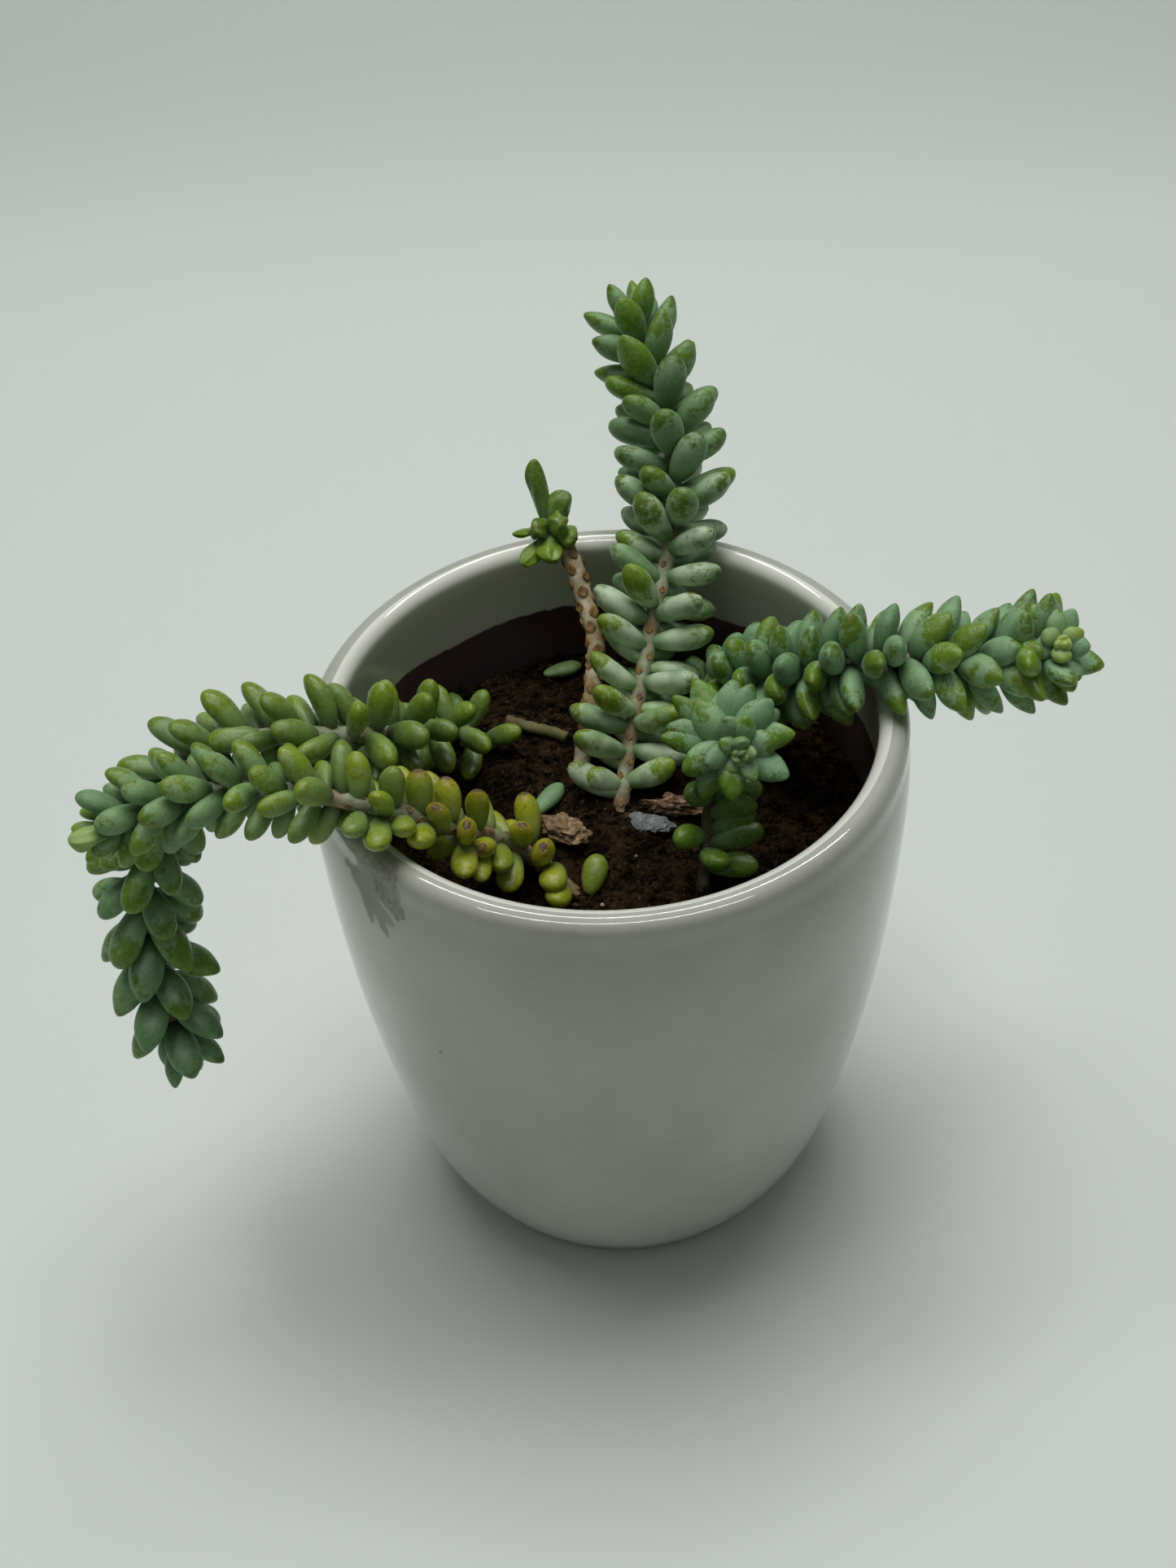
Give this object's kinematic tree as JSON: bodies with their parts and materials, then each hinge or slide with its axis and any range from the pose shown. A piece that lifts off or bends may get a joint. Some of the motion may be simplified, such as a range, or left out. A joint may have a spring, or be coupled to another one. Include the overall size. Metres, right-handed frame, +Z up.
{
  "type": "potted burros tail plant",
  "caption": "Burro's tail succulent with trailing leafy tails in a tapered glazed pot filled with soil.",
  "frame": {"origin": "middle of the pot's flat foot, on the surface it stands on", "axes": "+Z up along the pot's axis; -Y towards the side the plant is usually seen from; the two longest tails trail over the rim towards -X"},
  "size_m": [0.206, 0.1578, 0.1888],
  "materials": {
    "pot_glaze": "gloss",
    "potting_soil": "matte",
    "leaf_yellow_green": "satin",
    "leaf_blue_green": "satin",
    "leaf_mid_green": "satin",
    "woody_stem": "matte",
    "fallen_leaf": "satin",
    "dried_matter": "matte"
  },
  "bodies": {
    "root": {"pot": "pot_glaze", "soil": "potting_soil", "tail_front_left": "leaf_yellow_green", "tail_left_hanging": "leaf_blue_green", "tail_upright": "leaf_blue_green", "tail_right": "leaf_blue_green", "rosette_stem": "leaf_mid_green", "bare_stem": "woody_stem", "old_stem": "woody_stem", "fallen_leaf_pale": "fallen_leaf", "fallen_leaf_back": "fallen_leaf", "fallen_leaf_green": "fallen_leaf", "fallen_leaf_left": "fallen_leaf", "dry_leaf_skin": "dried_matter", "dried_stub_left": "dried_matter", "dried_stub_right": "dried_matter"}
  },
  "joints": []
}
